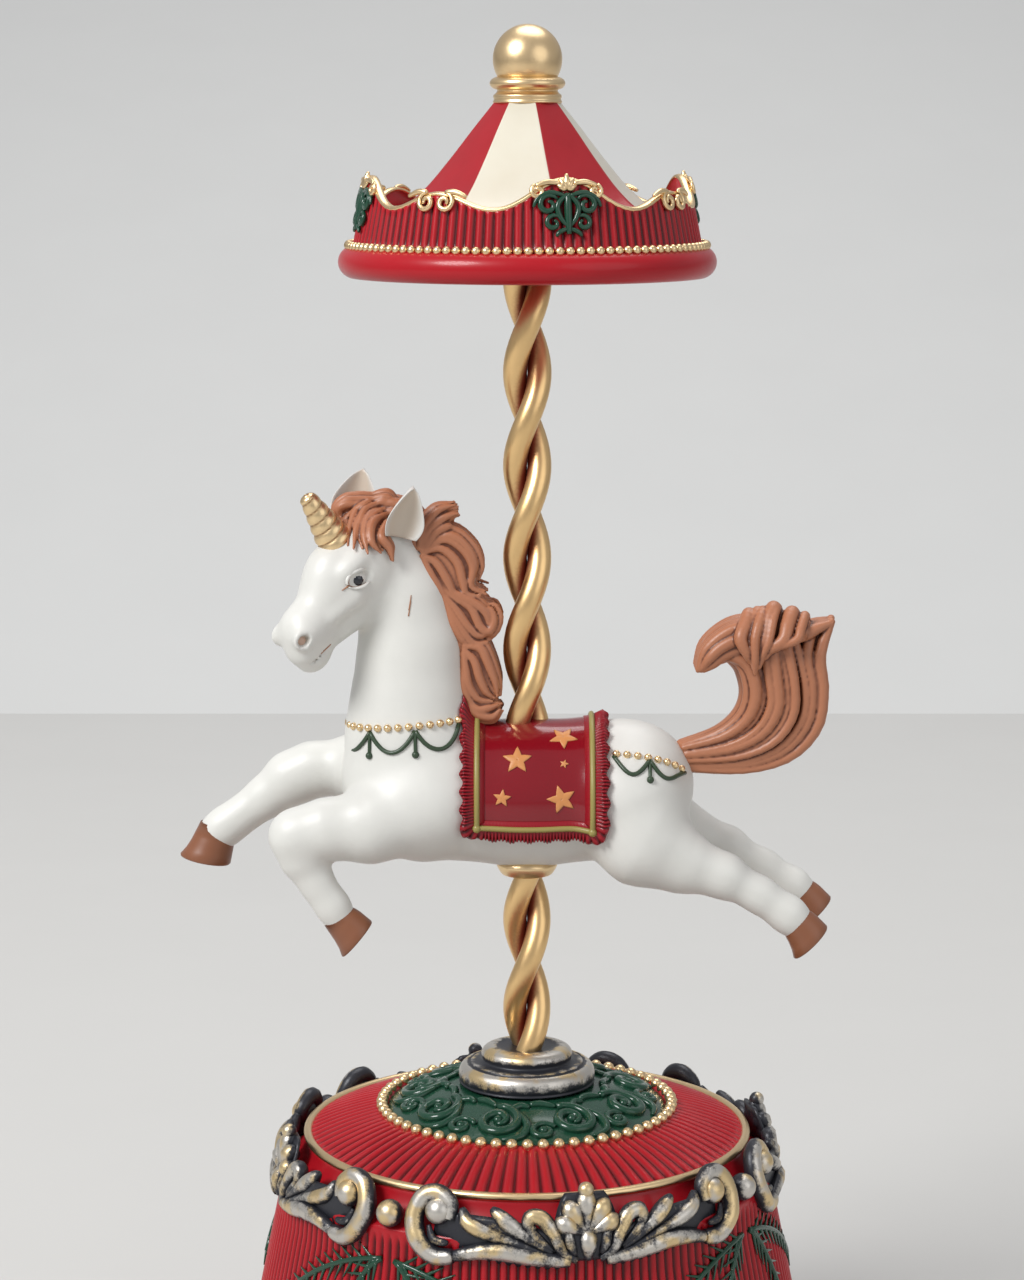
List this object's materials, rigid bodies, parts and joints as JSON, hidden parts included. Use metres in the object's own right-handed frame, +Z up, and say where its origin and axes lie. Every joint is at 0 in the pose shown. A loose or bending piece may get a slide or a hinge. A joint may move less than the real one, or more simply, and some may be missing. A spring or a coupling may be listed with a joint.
{
  "type": "carousel music box",
  "caption": "Wind-up carousel music box: a unicorn on a twisted gilt pole turns under a scalloped canopy above a fluted round base that holds the musical movement.",
  "frame": {"origin": "on the carousel's turning axis, in the plane of the foot ring's underside", "axes": "+Z up along the turning axis, the unicorn faces -X, the pictured side faces -Y"},
  "size_m": [0.1289, 0.12, 0.2754],
  "materials": {
    "red_lacquer": "deep red glossy lacquer on cast resin",
    "gilt": "gold leaf paint over red, on cast resin",
    "gilt_metal": "gold leaf over red bole, on a wound metal pole",
    "green_lacquer": "dark green glossy lacquer on cast resin",
    "antique_silver": "antique silver paint with gold high spots, on cast resin",
    "cream_paint": "cream and red gloss paint on cast resin",
    "unicorn_white": "warm white satin paint on cast resin",
    "chestnut": "chestnut brown paint with dark wash, on cast resin",
    "hoof_brown": "brown satin paint on cast resin",
    "blanket_red": "red satin paint with gold stars, on cast resin",
    "fringe_red": "red paint with gold high spots, on cast resin",
    "eye_black": "gloss black paint",
    "rubber_pad": "soft black rubber",
    "cover_board": "fibreboard",
    "movement_casting": "light die casting, as cast",
    "movement_steel": "bright steel",
    "movement_brass": "plain brass"
  },
  "bodies": {
    "base": {"base_shell": "red_lacquer", "foot_ring": "rubber_pad", "gilt_ring": "gilt", "medallion": "green_lacquer", "medallion_beads": "gilt", "scroll_band": "antique_silver", "bottom_cover": "cover_board", "cover_screws": "movement_steel", "bedplate": "movement_casting", "bedplate_screws": "movement_steel", "inner_post": "movement_brass", "outer_bridge": "movement_brass", "governor_plate": "movement_brass", "comb": "movement_steel", "comb_block": "movement_casting", "comb_screws": "movement_steel", "clutch_spring": "movement_steel", "spindle_bush": "movement_brass"},
    "carousel": {"spring_barrel": "movement_brass", "barrel_lid": "movement_brass", "mainspring": "movement_steel", "spindle": "movement_steel", "hub": "antique_silver", "twisted_pole": "gilt_metal", "belly_collar": "gilt", "unicorn_trunk": "unicorn_white", "unicorn_neck": "unicorn_white", "unicorn_head": "unicorn_white", "unicorn_eyes": "eye_black", "left_foreleg": "unicorn_white", "right_foreleg": "unicorn_white", "left_hindleg": "unicorn_white", "right_hindleg": "unicorn_white", "hooves": "hoof_brown", "saddle_blanket": "blanket_red", "blanket_fringe": "fringe_red", "ears": "unicorn_white", "horn": "gilt", "mane": "chestnut", "forelock": "chestnut", "tail": "chestnut", "canopy_rim": "red_lacquer", "valance": "red_lacquer", "canopy_roof": "cream_paint", "canopy_beads": "gilt", "finial": "gilt"},
    "cylinder": {"pinned_cylinder": "movement_brass", "cylinder_pins": "movement_steel", "cylinder_arbor": "movement_steel", "cylinder_pinion": "movement_steel", "great_wheel": "movement_brass"},
    "second_wheel_set": {"second_arbor": "movement_steel", "second_pinion": "movement_steel", "second_wheel": "movement_brass"},
    "fly": {"fly_arbor": "movement_steel", "fly_pinion": "movement_steel", "air_fly": "movement_brass"},
    "key": {"winding_arbor": "movement_steel", "winding_key": "movement_brass"}
  },
  "joints": [
    {"name": "carousel_spin", "type": "hinge", "parent": "base", "child": "carousel", "pos_m": [0, 0, 0.06], "axis": [0, 0, 1], "continuous": true},
    {"name": "cylinder_spin", "type": "hinge", "parent": "base", "child": "cylinder", "pos_m": [0, 0, 0.03315], "axis": [1, 0, 0], "continuous": true},
    {"name": "second_spin", "type": "hinge", "parent": "base", "child": "second_wheel_set", "pos_m": [0, 0.008, 0.03315], "axis": [1, 0, 0], "continuous": true},
    {"name": "fly_spin", "type": "hinge", "parent": "base", "child": "fly", "pos_m": [0, 0.01413, 0.03829], "axis": [1, 0, 0], "continuous": true},
    {"name": "key_wind", "type": "hinge", "parent": "base", "child": "key", "pos_m": [0, 0, 0.012], "axis": [0, 0, 1], "continuous": true}
  ],
  "couplings": [
    {"joint": "cylinder_spin", "follows": "carousel_spin", "ratio": 3},
    {"joint": "second_spin", "follows": "carousel_spin", "ratio": -12},
    {"joint": "fly_spin", "follows": "carousel_spin", "ratio": 48}
  ]
}
